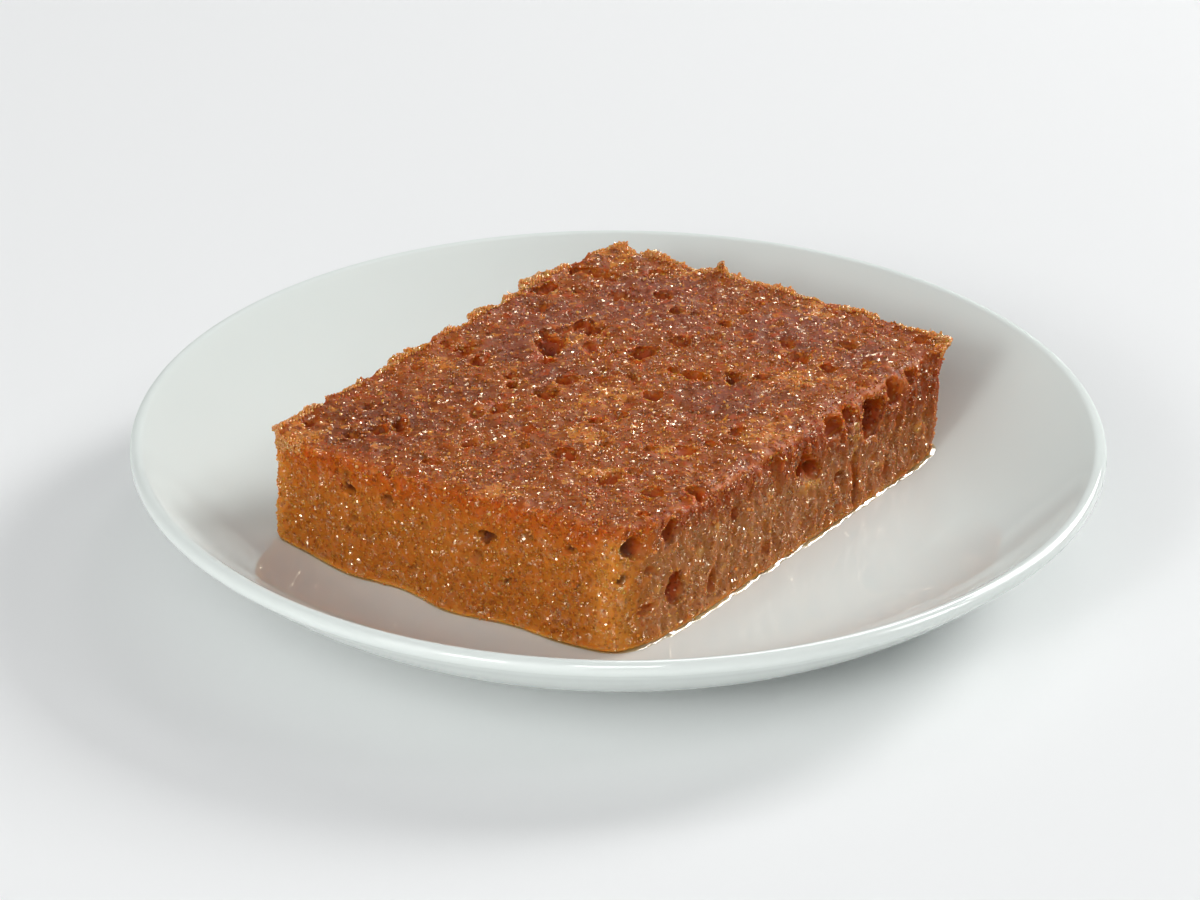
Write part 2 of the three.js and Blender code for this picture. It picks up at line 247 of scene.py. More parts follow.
def smooth_out(piece, rounds):
    """Draws each point halfway to its neighbours, again and again."""
    modifier = piece.modifiers.new("smooth", "SMOOTH")
    modifier.factor = 0.5
    modifier.iterations = rounds
    apply_modifiers(piece)


def cut_away(piece, cutter):
    modifier = piece.modifiers.new("cut", "BOOLEAN")
    modifier.operation = "DIFFERENCE"
    modifier.object = cutter
    modifier.solver = "MANIFOLD"
    apply_modifiers(piece)
    bpy.data.objects.remove(cutter)


def shade_smooth(piece):
    piece.data.polygons.foreach_set("use_smooth", [True] * len(piece.data.polygons))


# Slice

def rounded_edge(u, v, depth):
    """Wraps the edge between the top and the long front side onto a round one."""
    across = v * SLICE_WIDTH
    more = EDGE_ROUND_MORE * smooth_step(*EDGE_ROUND_START, u) * smooth_step(*EDGE_ROUND_END, u)
    reach = EDGE_ROUND_LEAST + more
    dx = np.maximum(reach - across, 0.0)
    dy = np.maximum(reach - depth, 0.0)
    length = np.maximum(np.hypot(dx, dy), SHORTEST)
    scale = np.where((dx > 0) & (dy > 0), np.maximum(dx, dy) / length, 1.0)
    across = np.where(dx > 0, reach - dx * scale, across)
    depth = np.where(dy > 0, reach - dy * scale, depth)
    return across / SLICE_WIDTH, depth


def slab():
    """The plain form of the slice: a gridded block moved onto its bowed, hand-cut outline."""
    bm = bmesh.new()
    bmesh.ops.create_cube(bm, size=1.0)
    bmesh.ops.subdivide_edges(bm, edges=bm.edges[:], cuts=SLAB_CUTS, use_grid_fill=True)
    piece = piece_from(bm, "kadayif_slice_form")
    cube = coordinates(piece.data) + 0.5
    u, v, height = cube.T
    thickness = TOP_NEAR - WELL_HEIGHT
    v, depth = rounded_edge(u, v, (1.0 - height) * thickness)
    height = 1.0 - depth / thickness
    plan = plan_point(u, v, height)
    foot = well_height(np.hypot(plan[:, 0], plan[:, 1])) + REST_GAP
    inner_u, inner_v = rounded_plan(u, v)
    top = top_height(inner_u, inner_v)
    points = np.column_stack((plan, foot + (top - foot) * height))
    set_coordinates(piece.data, points)
    return piece


# Lumps: the half sizes from which they get a finer mesh, how rough they are, and how close their bumps are
FINEST_FROM = 1.6 * MM
FINER_FROM = 0.9 * MM
ROUGH = 0.9
RAGGED = 0.45
ROUND = 0.3
COARSE_BUMPS = 1.6
FINE_BUMPS = 4.0
RAGGED_PARTS = 4


def blob(bm, centre, radii, turn, rough, seed):
    """One uneven lump in a bmesh: part of a pore to cut, or a crumb to add."""
    fineness = 3 if max(radii) > FINEST_FROM else 2 if max(radii) > FINER_FROM else 1
    matrix = Matrix.LocRotScale(None, Matrix.Rotation(turn, 3, "Z"), Vector(radii))
    lump = bmesh.ops.create_icosphere(bm, subdivisions=fineness, radius=1.0)
    shift = Vector((seed, seed * 0.37, -seed))
    for vert in lump["verts"]:
        coarse = noise.noise(vert.co * COARSE_BUMPS + shift)
        fine = noise.noise(vert.co * FINE_BUMPS + shift)
        vert.co = Vector(centre) + matrix @ (vert.co * (1.0 + rough * (coarse + 0.5 * fine)))


def rough_blob(bm, centre, radii, turn, seed):
    blob(bm, centre, radii, turn, ROUGH, seed)


def round_blob(bm, centre, radii, turn, seed):
    blob(bm, centre, radii, turn, ROUND, seed)


def ragged_blob(bm, centre, radii, turn, seed):
    """A few lumps that overlap, which gives a pore with a torn outline."""
    draw = random.Random(seed)
    blob(bm, centre, radii, turn, RAGGED, seed)
    for _ in range(RAGGED_PARTS):
        shift = [draw.uniform(-0.75, 0.75) * r for r in radii]
        part = [draw.uniform(0.35, 0.6) * r for r in radii]
        spot = Matrix.Rotation(turn, 3, "Z") @ Vector(shift) + Vector(centre)
        blob(bm, spot, part, turn, ROUGH, seed + draw.random())


# Large pores in the top: millimetres along and across, then their half sizes before the stretch
TOP_PORE_STRETCH = 1.3
TOP_PORES = (
    (63.0, 60.6, 3.0, 2.2, 3.0),
    (60.5, 58.8, 2.0, 1.5, 2.0),
    (73.5, 60.6, 1.9, 1.5, 2.2),
    (68.5, 44.0, 2.2, 2.0, 2.2),
    (50.5, 48.4, 1.9, 1.6, 2.2),
    (49.0, 66.6, 2.0, 1.5, 1.8),
    (52.0, 72.0, 1.4, 1.2, 1.4),
    (23.5, 30.0, 1.8, 2.2, 1.9),
    (65.5, 30.6, 1.3, 2.6, 2.2),
    (54.0, 31.6, 1.4, 1.3, 1.6),
    (83.0, 19.6, 1.9, 1.9, 1.7),
    (68.5, 24.0, 1.8, 1.5, 1.9),
    (92.5, 14.6, 1.6, 1.7, 1.5),
    (71.5, 18.6, 1.3, 1.3, 1.4),
    (21.0, 17.6, 1.3, 1.4, 1.4),
    (24.0, 16.0, 1.1, 1.1, 1.2),
    (87.0, 49.6, 1.4, 1.3, 1.4),
    (88.0, 59.6, 1.4, 1.4, 1.4),
    (94.5, 72.6, 1.5, 1.3, 1.3),
    (86.0, 71.0, 1.4, 1.2, 1.3),
    (15.0, 59.6, 1.3, 1.4, 1.3),
    (7.5, 46.6, 1.1, 1.8, 1.2),
    (43.0, 54.6, 1.4, 1.2, 1.6),
    (28.5, 52.6, 1.3, 1.2, 1.4),
    (88.0, 26.0, 1.3, 1.3, 1.3),
    (49.0, 10.6, 1.3, 1.2, 1.4),
    (36.5, 14.0, 1.5, 1.4, 1.5),
    (9.0, 3.6, 1.2, 1.1, 1.2),
    (77.0, 41.6, 1.4, 1.4, 1.5),
    (56.0, 57.0, 1.2, 1.1, 1.5),
)

# Large pores in the long front side: along it, height over the foot, half sizes
LONG_SIDE_PORES = (
    (80.6, 18.2, 4.2, 4.5, 6.5),
    (57.6, 16.8, 3.5, 2.4, 5.5),
    (61.4, 14.8, 1.9, 1.6, 3.6),
    (15.0, 9.3, 2.8, 3.3, 3.2),
    (69.0, 10.0, 2.0, 1.5, 2.4),
    (13.4, 21.4, 2.6, 2.6, 3.0),
    (4.6, 20.8, 2.6, 2.4, 2.6),
    (7.0, 7.5, 1.9, 1.0, 2.2),
    (7.6, 15.2, 1.4, 1.0, 2.0),
    (2.4, 15.0, 1.2, 1.3, 1.8),
    (75.0, 7.5, 0.9, 7.0, 2.2),
    (67.0, 21.6, 3.6, 2.4, 2.8),
    (73.0, 21.8, 1.9, 1.9, 2.2),
    (88.5, 20.5, 2.4, 2.8, 2.2),
    (94.5, 21.5, 2.2, 1.6, 2.2),
    (91.0, 13.0, 1.2, 1.9, 2.0),
    (86.5, 5.5, 1.2, 3.0, 1.6),
    (26.0, 6.0, 1.1, 3.0, 1.6),
    (44.0, 5.0, 1.3, 1.2, 1.6),
    (33.0, 17.0, 1.3, 1.9, 1.6),
    (47.0, 21.0, 1.8, 1.6, 1.8),
)

# Pores in the short front side: from the near corner, height over the foot, half sizes
SHORT_SIDE_PORES = (
    (60.4, 17.8, 1.4, 1.1, 3.2),
    (59.0, 17.0, 0.9, 0.8, 2.2),
    (28.2, 16.6, 1.3, 1.0, 3.2),
    (26.6, 16.9, 0.9, 0.8, 2.2),
    (50.5, 18.0, 2.0, 1.6, 1.9),
    (19.5, 20.0, 2.4, 1.9, 1.9),
    (29.5, 12.5, 1.2, 1.2, 1.6),
    (58.5, 12.0, 0.8, 0.9, 1.6),
    (36.0, 20.6, 1.8, 1.3, 1.8),
    (9.5, 19.5, 1.6, 1.5, 1.8),
    (7.0, 12.0, 1.0, 1.4, 1.4),
    (62.0, 20.0, 2.2, 1.6, 1.8),
    (42.0, 15.0, 1.4, 1.0, 1.5),
    (23.0, 9.0, 1.3, 1.1, 1.4),
)


# Half sizes in millimetres from which a pore is torn, and from which it is one smooth hollow
TORN_TOP_FROM = 1.3
TORN_SIDE_FROM = 1.4
SMOOTH_SIDE_FROM = 5.0


def under_top(u, v, sunk):
    """The point that lies so far under the top."""
    x, y = plan_point(np.float64(u), np.float64(v), 1.0)
    return x, y, top_height(u, v) - sunk


def top_pore(bm, along, across, long, wide, deep, seed):
    centre = under_top(along * MM / SLICE_LENGTH, across * MM / SLICE_WIDTH, 0.3 * deep * MM)
    make = ragged_blob if long > TORN_TOP_FROM else rough_blob
    make(bm, centre, (long * MM, wide * MM, deep * MM), SLICE_TURN, seed)


def side_pore(bm, u, v, up, radii, seed):
    x, y = plan_point(np.float64(u), np.float64(v), 0.5)
    centre = (x, y, well_height(math.hypot(x, y)) + REST_GAP + up * MM)
    torn = ragged_blob if max(radii) > TORN_SIDE_FROM else rough_blob
    make = round_blob if radii[1] > SMOOTH_SIDE_FROM else torn
    make(bm, centre, [r * MM for r in radii], SLICE_TURN, seed)


def named_pores(bm):
    for number, (along, across, *sizes) in enumerate(TOP_PORES):
        top_pore(bm, along, across, *(TOP_PORE_STRETCH * size for size in sizes), number + 0.5)
    for number, (along, up, long, high, deep) in enumerate(LONG_SIDE_PORES):
        side_pore(bm, along * MM / SLICE_LENGTH, 0.0, up, (long, deep, high), number + 40.5)
    for number, (along, up, long, high, deep) in enumerate(SHORT_SIDE_PORES):
        side_pore(bm, 0.0, along * MM / SLICE_WIDTH, up, (deep, long, high), number + 70.5)


# Small pores: how many, the half size in millimetres of the least and how much larger the largest is, and
# how much more common the small ones are
TOP_SMALL_PORES = 170
TOP_SMALL_SIZE = (0.6, 1.2)
SIDE_SMALL_PORES = 520
SIDE_SMALL_SIZE = (0.4, 0.6)
SMALL_PORE_POWER = 2.2
PORE_HEIGHTS = (1.5, 24.0)


def scattered_pores(bm):
    """Small pores all over the top and the four sides, more of them the smaller they are."""
    draw = random.Random(4)
    half_round = SLICE_LENGTH + SLICE_WIDTH
    for number in range(TOP_SMALL_PORES):
        size = TOP_SMALL_SIZE[0] + TOP_SMALL_SIZE[1] * draw.random() ** SMALL_PORE_POWER
        along = draw.uniform(1.0, SLICE_LENGTH / MM - 1.0)
        across = draw.uniform(1.0, SLICE_WIDTH / MM - 1.0)
        stretch = draw.uniform(0.8, 1.5)
        top_pore(bm, along, across, size * stretch, size, size * draw.uniform(0.9, 1.5), number * 1.3)
    for number in range(SIDE_SMALL_PORES):
        size = SIDE_SMALL_SIZE[0] + SIDE_SMALL_SIZE[1] * draw.random() ** SMALL_PORE_POWER
        travel = draw.random() * 2 * half_round
        up = draw.uniform(*PORE_HEIGHTS)
        tall = draw.uniform(0.8, 1.7)
        on_long = travel % half_round < SLICE_LENGTH
        far_side = 1.0 if travel > half_round else 0.0
        place = draw.uniform(0.02, 0.98)
        u, v = (place, far_side) if on_long else (far_side, place)
        side_pore(bm, u, v, up, (size, size, size * tall), number * 1.7)


def pores():
    bm = bmesh.new()
    named_pores(bm)
    scattered_pores(bm)
    piece = piece_from(bm, "pores")
    remesh(piece, PORE_VOXEL)
    return piece


# Torn flakes at the back edges: u, v, half sizes and turn
FLAKES = (
    (0.995, 0.02, 2.4, 1.3, 0.8, 0.3),
    (0.985, 0.10, 1.8, 1.3, 0.9, 1.2),
    (0.99, 0.26, 1.9, 1.3, 0.9, 2.2),
    (1.0, 0.675, 1.5, 1.0, 2.7, 0.9),
    (0.805, 1.0, 5.0, 3.4, 1.1, 0.9),
    (0.63, 1.0, 3.4, 2.8, 1.0, 0.9),
    (1.0, 0.96, 3.0, 1.8, 1.2, 0.9),
    (1.0, 0.86, 2.6, 1.5, 1.2, 2.4),
    (0.99, 0.63, 1.9, 1.1, 0.9, 2.4),
    (0.985, 0.78, 1.9, 1.4, 0.8, 2.0),
    (0.97, 0.90, 3.6, 2.8, 0.9, 2.2),
    (0.93, 0.98, 2.0, 1.4, 0.9, 1.0),
    (0.82, 0.99, 2.4, 1.2, 0.8, 0.2),
    (0.70, 0.99, 2.0, 1.1, 0.8, 2.3),
)

# Small crumbs on the four top edges: how many, and how the ten shares of them fall to the long back edge (l),
# the short back edge (s), the long front edge (f) and the short front edge (n)
EDGE_CRUMBS = 190
EDGE_SHARES = "llllssssfn"


def flakes():
    """Ragged crumbs that stand along the top edges, most of them at the back."""
    draw = random.Random(9)
    bm = bmesh.new()
    for number, (u, v, long, wide, high, turn) in enumerate(FLAKES):
        centre = under_top(u, v, 0.1 * MM)
        blob(bm, centre, (long * MM, wide * MM, high * MM), turn, ROUGH, number + 3.3)
    for number in range(EDGE_CRUMBS):
        place, side = draw.random(), draw.choice(EDGE_SHARES)
        u, v = {"l": (place, 1.0), "s": (1.0, place), "f": (place, 0.0), "n": (0.0, place)}[side]
        size = draw.uniform(0.4, 1.1)
        centre = under_top(u, v, draw.uniform(0.1, 0.8) * MM)
        radii = (size * 1.7 * MM, size * MM, size * 0.45 * MM)
        blob(bm, centre, radii, draw.uniform(0.0, math.pi), ROUGH, number * 0.9)
    return piece_from(bm, "flakes")


def joined(piece, other):
    bm = bmesh.new()
    bm.from_mesh(piece.data)
    bm.from_mesh(other.data)
    bm.to_mesh(piece.data)
    bm.free()
    bpy.data.objects.remove(other)


PLACE_ROUNDS = 4
PLACE_PACE = 0.8


def slice_place(points):
    """u and v of each point of the slice, by closing in on the plan."""
    corner = np.column_stack((LENGTH_WAY * SLICE_LENGTH, WIDTH_WAY * SLICE_WIDTH))
    back = np.linalg.inv(corner)
    height = np.clip((points[:, 2] - WELL_HEIGHT) / (TOP_NEAR - WELL_HEIGHT), 0.0, 1.0)
    uv = (points[:, :2] - NEAR) @ back.T
    for _ in range(PLACE_ROUNDS):
        plan = plan_point(np.clip(uv[:, 0], 0.0, 1.0), np.clip(uv[:, 1], 0.0, 1.0), height)
        uv = uv + (points[:, :2] - plan) @ back.T * PLACE_PACE
    return uv[:, 0], uv[:, 1]


def granules_at(points, size, seed):
    """Rounded granules: 0.5 at the middle of each, less than 0 in the creases between."""
    shift = Vector((seed * 2.9, seed * 4.3, seed * 1.7))
    return np.array([0.5 - noise.voronoi(Vector(p) / size + shift)[0][0] for p in points])


def proudness(piece):
    """How far each point stands out of the smoothed skin, in millimetres: less than 0 in a pore."""
    softened = piece.copy()
    softened.data = piece.data.copy()
    bpy.context.scene.collection.objects.link(softened)
    smooth_out(softened, SOFTEN_ROUNDS)
    gap = coordinates(piece.data) - coordinates(softened.data)
    bpy.data.objects.remove(softened)
    return (gap * coordinates(piece.data, "normal")).sum(axis=1) / MM


def skin_places(points):
    """u and v of each point, and how far it lies under the top and inside the nearest side."""
    u, v = slice_place(points)
    depth = top_height(u, v) - points[:, 2]
    side = np.minimum(np.minimum(u, 1.0 - u) * SLICE_LENGTH, np.minimum(v, 1.0 - v) * SLICE_WIDTH)
    return u, v, depth / MM, side / MM


def pore_share(piece):
    """1 inside a pore, 0 on the open skin."""
    _, _, depth, side = skin_places(coordinates(piece.data))
    inside = smooth_step(0.8, 1.8, np.minimum(depth, side))
    return np.maximum(inside, smooth_step(-0.15, -0.7, proudness(piece)))


# Relief of the skin: the height of each kind in millimetres, and the size of its lumps
SWELL = (0.6, 11.0 * MM)
LUMP = (0.5, 4.2 * MM)
SMALL_LUMP = (0.4, 1.9 * MM)
FURROW = (0.6, 1.7 * MM)
FURROW_STRETCH = (1.0, 1.0, 0.28)
GRANULE = (0.35, 1.5 * MM)
GRANULE_REST = 0.25
PORE_CALM = 0.8


def lumps_at(points, kind, seed):
    height, size = kind
    return height * noise_at(points, size, seed)


def crumb_relief(piece):
    """Moves the skin by swells, granules and, on all sides but the short front one, upright furrows."""
    mesh = piece.data
    points = coordinates(mesh)
    normals = coordinates(mesh, "normal")
    u = slice_place(points)[0]
    foot = well_height(np.hypot(points[:, 0], points[:, 1])) + REST_GAP
    free = smooth_step(0.1 * MM, 1.4 * MM, points[:, 2] - foot)
    upright = 1.0 - smooth_step(0.3, 0.8, abs(normals[:, 2]))
    furrowed = smooth_step(0.03, 0.1, u) * upright
    swells = lumps_at(points, SWELL, 7)
    lumps = lumps_at(points, LUMP, 1) + lumps_at(points, SMALL_LUMP, 2)
    furrows = lumps_at(points * FURROW_STRETCH, FURROW, 4) * furrowed
    granules = GRANULE[0] * granules_at(points, GRANULE[1], 3)
    calm = 1.0 - PORE_CALM * pore_share(piece)
    offset = (swells + lumps + furrows + granules - GRANULE_REST) * free * calm * MM
    set_coordinates(mesh, points + normals * offset[:, None])


def flatten_underside(piece):
    """Joins the hidden cells on the plate into one face, which leaves more of them for what shows."""
    bm = bmesh.new()
    bm.from_mesh(piece.data)
    hidden = []
    for face in bm.faces:
        middle = face.calc_center_median()
        if face.normal.z < -0.85 and middle.z < well_height(middle.xy.length) + 0.8 * MM:
            hidden.append(face)
    bmesh.ops.dissolve_faces(bm, faces=hidden, use_verts=True)
    bmesh.ops.triangulate(bm, faces=[face for face in bm.faces if len(face.verts) > 4])
    bm.to_mesh(piece.data)
    bm.free()


# Patches of colour on the top: millimetres along and across, and half width
GOLDEN_PATCHES = (
    (32.0, 31.0, 4.5), (48.0, 38.0, 5.0), (75.0, 14.0, 5.5), (52.0, 4.0, 6.5), (35.0, 15.0, 4.0),
    (67.0, 59.0, 3.0), (2.0, 30.0, 5.0), (2.0, 74.0, 6.0), (104.0, 60.0, 4.0), (103.0, 28.0, 4.0),
    (105.0, 74.0, 5.0), (20.0, 20.0, 4.0), (43.0, 72.0, 3.0),
)
# Dusky patches: mauve-grey crust whose colour is partly a painted sheen of light on the wet film
DUSKY_AND_SHEEN_PATCHES = (
    (88.0, 55.0, 15.0), (92.0, 28.0, 12.0), (72.0, 68.0, 11.0), (60.0, 62.0, 9.0), (16.0, 64.0, 13.0),
    (58.0, 20.0, 9.0), (90.0, 10.0, 6.0), (36.0, 60.0, 6.0), (50.0, 52.0, 7.0),
)

# Pale crumbs on the long front side: millimetres along and above the foot, and half width
PALE_PATCHES = (
    (58.4, 12.6, 2.4), (61.5, 11.6, 1.6), (74.3, 19.0, 1.2), (74.5, 16.5, 1.4), (74.8, 13.8, 1.5),
    (75.0, 11.0, 1.4), (75.2, 8.4, 1.2), (22.0, 13.5, 1.6), (27.0, 17.0, 1.4), (30.0, 7.0, 1.3),
    (45.0, 16.0, 1.5), (39.0, 11.0, 1.2), (83.0, 7.0, 1.3), (98.0, 9.0, 1.5), (10.0, 11.0, 1.4),
)


def patches_at(across_way, up_way, patches):
    """1 at the middle of each patch, fading out at its half width, for places in millimetres."""
    total = np.zeros(len(across_way))
    for first, second, half in patches:
        gap = np.hypot(across_way - first, up_way - second)
        total = np.maximum(total, np.exp(-(gap / half) ** 2))
    return total


def paint(mesh, name, values):
    layer = mesh.attributes.new(name, "FLOAT", "POINT")
    layer.data.foreach_set("value", np.asarray(values, dtype=np.float32))


def skin_facts(piece):
    """What the finishes and the granules need to know of each point of the slice's skin."""
    points = coordinates(piece.data)
    u, v, depth, side = skin_places(points)
    along = u * SLICE_LENGTH / MM
    across = v * SLICE_WIDTH / MM
    above_foot = (points[:, 2] - well_height(np.hypot(points[:, 0], points[:, 1]))) / MM
    behind = np.maximum(0.5 * smooth_step(0.9, 0.99, v), smooth_step(0.9, 0.99, u))
    behind = behind * smooth_step(-0.25, 0.3, noise_at(points, 8.0 * MM, 11))
    return {
        "fringe": smooth_step(1.1, 0.1, side) * smooth_step(2.2, 0.5, depth) * behind,
        "depth": depth,
        "side": side,
        "above_foot": above_foot,
        "along": u,
        "corner": np.hypot(along, np.minimum(across, SLICE_WIDTH / MM - across)),
        "golden": patches_at(along, across, GOLDEN_PATCHES),
        "dusky": patches_at(along, across, DUSKY_AND_SHEEN_PATCHES),
        "pale": patches_at(along, above_foot, PALE_PATCHES) * smooth_step(0.1, 0.03, v),
        "proud": proudness(piece),
        "pore": pore_share(piece),
    }


def slice_piece():
    piece = slab()
    joined(piece, flakes())
    remesh(piece, VOXEL)
    smooth_out(piece, WEAR_ROUNDS)
    cut_away(piece, pores())
    remesh(piece, VOXEL)
    drop_loose_bits(piece)
    crumb_relief(piece)
    flatten_underside(piece)
    facts = skin_facts(piece)
    for name, values in facts.items():
        paint(piece.data, name, values)
    shade_smooth(piece)
    piece.name = "soaked_slice"
    return piece, facts


# Granules of wet crumb

def copies_of_a_crumb(name, doublings):
    """One small round crumb, doubled again and again in its place."""
    bm = bmesh.new()
    bmesh.ops.create_icosphere(bm, subdivisions=1, radius=1.0)
    for _ in range(doublings):
        bmesh.ops.duplicate(bm, geom=bm.verts[:] + bm.edges[:] + bm.faces[:])
    return piece_from(bm, name)


def strew(name, kind, skin, facts, weight, seed, form=(1.0, 1.0, 1.0)):
    """Sets crumbs into the skin at random points of it, more of them where the weight is high."""
    doublings, sizes, lift = kind
    draw = np.random.default_rng(seed)
    piece = copies_of_a_crumb(name, doublings)
    count = 2 ** doublings
    weight = weight + LEAST_CHANCE
    chosen = draw.choice(len(weight), count, replace=False, p=weight / weight.sum())
    centres = coordinates(skin.data)[chosen] + coordinates(skin.data, "normal")[chosen] * lift
    size = draw.uniform(*sizes, (count, 1, 1)) * draw.uniform(0.7, 1.3, (count, 1, 3)) * form
    turns = np.linalg.qr(draw.normal(size=(count, 3, 3)))[0]
    turns[:, :, 0] *= np.linalg.det(turns)[:, None]
    crumb = coordinates(piece.data).reshape(count, -1, 3)
    crumb = crumb * draw.uniform(0.84, 1.16, crumb.shape[:2])[:, :, None] * size
    placed = np.einsum("nij,nkj->nki", turns, crumb) + centres[:, None, :]
    set_coordinates(piece.data, placed.reshape(-1, 3))
    each = crumb.shape[1]
    for fact, values in facts.items():
        paint(piece.data, fact, np.repeat(values[chosen], each))
    paint(piece.data, "tone", np.repeat(draw.random(count), each))
    return piece


# Strewn crumbs: how often one is doubled, the least and the greatest radius, and how far they stand out
TOP_GRANULES = (13, (0.13 * MM, 0.31 * MM), 0.03 * MM)
SIDE_GRANULES = (13, (0.12 * MM, 0.28 * MM), 0.03 * MM)
GOLDEN_CRUMBS = (12, (0.15 * MM, 0.4 * MM), 0.15 * MM)
TORN_FLAKES = (8, (0.4 * MM, 0.8 * MM), 0.05 * MM)
FLAKE_FORM = (1.4, 0.7, 0.22)


def granule_pieces(skin, facts):
    free = smooth_step(0.8, 2.0, facts["above_foot"]) * (1.0 - facts["pore"]) ** 2
    on_top = smooth_step(3.0, 1.0, facts["depth"])
    fringe = facts["fringe"]
    top_weight = free * on_top * (1.0 - 0.4 * facts["dusky"])
    top = strew("top_granules", TOP_GRANULES, skin, facts, top_weight, 21)
    sides = strew("side_granules", SIDE_GRANULES, skin, facts, free * (1.0 - on_top), 22)
    golden = strew("golden_crumbs", GOLDEN_CRUMBS, skin, facts, fringe, 23)
    torn = strew("torn_edge_flakes", TORN_FLAKES, skin, facts, fringe ** 2, 24, FLAKE_FORM)
    return top, sides, golden, torn


# Plate

WELL_FLAT = 0.8 * WELL_RADIUS
WELL_TURN = 0.85 * WELL_RADIUS
LIP_ARC = range(120, -50, -10)
UNDER_LIP = 3.2 * MM


def plate_section():
    """Half of the plate's section, from the centre of the well round to the centre of the underside."""
    radii = np.concatenate((np.linspace(0.0, WELL_FLAT, 8), np.linspace(WELL_TURN, LIP_SIDE, 26)))
    section = [(r, float(well_height(r))) for r in radii]
    for turn in np.radians(LIP_ARC):
        centre = PLATE_RADIUS - LIP_RADIUS
        section.append((centre + LIP_RADIUS * math.cos(turn), LIP_HEIGHT + LIP_RADIUS * math.sin(turn)))
    for r in np.linspace(PLATE_RADIUS - UNDER_LIP, FOOT_RADIUS + FOOT_EDGE, 16):
        section.append((r, float(well_height(r)) - WALL_DROP))
    inside = FOOT_RADIUS - FOOT_WIDTH
    section += [(FOOT_RADIUS + 0.1 * MM, 1.2 * MM), (FOOT_RADIUS, FOOT_EDGE)]
    section += [(FOOT_RADIUS - 0.15 * MM, 0.15 * MM), (FOOT_RADIUS - FOOT_EDGE, 0.0)]
    section += [(inside + FOOT_EDGE, 0.0), (inside, FOOT_EDGE)]
    section += [(inside - FOOT_EDGE, FOOT_RECESS), (0.0, FOOT_RECESS)]
    return section


def spun(section, steps, name):
    """Spins a line of points, given by radius and height, once round the upright axis."""
    bm = bmesh.new()
    verts = [bm.verts.new((r, 0.0, z)) for r, z in section]
    edges = [bm.edges.new(pair) for pair in zip(verts, verts[1:])]
    bmesh.ops.spin(bm, geom=verts + edges, cent=(0, 0, 0), axis=(0, 0, 1), angle=2 * math.pi,
                   steps=steps, use_merge=True)
    bmesh.ops.remove_doubles(bm, verts=bm.verts[:], dist=SAME_PLACE)
    bmesh.ops.recalc_face_normals(bm, faces=bm.faces[:])
    return piece_from(bm, name)


def plate_piece():
    piece = spun(plate_section(), PLATE_STEPS, "coupe_plate")
    shade_smooth(piece)
    return piece


# Syrup

SYRUP_RING = 10.0
SYRUP_STEPS = 900
SYRUP_SECTION = ((0.0, -0.4), (1.0, -0.4), (0.86, 0.16), (0.64, 0.34), (0.42, 0.56), (0.2, 0.86), (0.0, 1.25))
SYRUP_STARTS = -2.0 * MM
SYRUP_IS_FULL = 6.0 * MM
SYRUP_SWELL = (0.6, 6.0 * MM)
SYRUP_LUMP = (0.4, 1.8 * MM)
SYRUP_HEAP = (0.35, 3.0 * MM)
HALF_TANGENT = 0.003


def foot_outline(share):
    """The slice's foot as a closed outline, for shares of the way round from the near corner."""
    total = 2 * (SLICE_LENGTH + SLICE_WIDTH)
    travel = (share % 1.0) * total
    turns = np.array((0.0, SLICE_LENGTH, SLICE_LENGTH + SLICE_WIDTH, 2 * SLICE_LENGTH + SLICE_WIDTH, total))
    u = np.interp(travel, turns, (0.0, 1.0, 1.0, 0.0, 0.0))
    v = np.interp(travel, turns, (0.0, 0.0, 1.0, 1.0, 0.0))
    return plan_point(u, v, 0.0)


def syrup_piece():
    """A wet edge that climbs the slice a little and thins out over the plate."""
    section = [(SYRUP_RING + out, up) for out, up in (*SYRUP_SECTION, SYRUP_SECTION[0])]
    piece = spun(section, SYRUP_STEPS, "syrup_edge")
    ring = coordinates(piece.data)
    share = np.arctan2(ring[:, 1], ring[:, 0]) / (2 * math.pi)
    out = np.hypot(ring[:, 0], ring[:, 1]) - SYRUP_RING
    foot = foot_outline(share)
    tangent = foot_outline(share + HALF_TANGENT) - foot_outline(share - HALF_TANGENT)
    tangent /= np.linalg.norm(tangent, axis=1)[:, None]
    outward = np.column_stack((tangent[:, 1], -tangent[:, 0]))
    flat = np.column_stack((foot, np.zeros(len(foot))))
    on_long = smooth_step(SYRUP_STARTS, SYRUP_IS_FULL, (foot - NEAR) @ LENGTH_WAY)
    ragged = lumps_at(flat, SYRUP_SWELL, 5) + lumps_at(flat, SYRUP_LUMP, 6)
    wide = 0.75 * on_long - 0.5 + ragged * on_long
    tall = 0.2 + 0.4 * on_long + lumps_at(flat, SYRUP_HEAP, 8) * on_long
    plan = foot + outward * ((-1.0 + out * (wide + 1.0)) * MM)[:, None]
    base = well_height(np.hypot(plan[:, 0], plan[:, 1]))
    up = ring[:, 2] * tall * MM
    set_coordinates(piece.data, np.column_stack((plan, base + up)))
    shade_smooth(piece)
    return piece


# Finishes

GLINT_COLOUR = (1.0, 0.85, 0.62, 1.0)

# What all wet crumb has in common: little mirroring of its own, and light that spreads inside it as orange
SOAKED = {
    "Specular IOR Level": 0.11,
    "Subsurface Weight": 1.0,
    "Subsurface Radius": (1.0, 0.42, 0.1),
}


class Value:
    """A node's output that can be used in sums."""

    def __init__(self, finish, socket):
        self.finish = finish
        self.socket = socket

    def math(self, operation, *inputs):
        return self.finish.math(operation, *inputs)

    def __add__(self, other):
        return self.math("ADD", self, other)

    def __sub__(self, other):
        return self.math("SUBTRACT", self, other)

    def __rsub__(self, other):
        return self.math("SUBTRACT", other, self)

    def __mul__(self, other):
        return self.math("MULTIPLY", self, other)

    __radd__ = __add__
    __rmul__ = __mul__


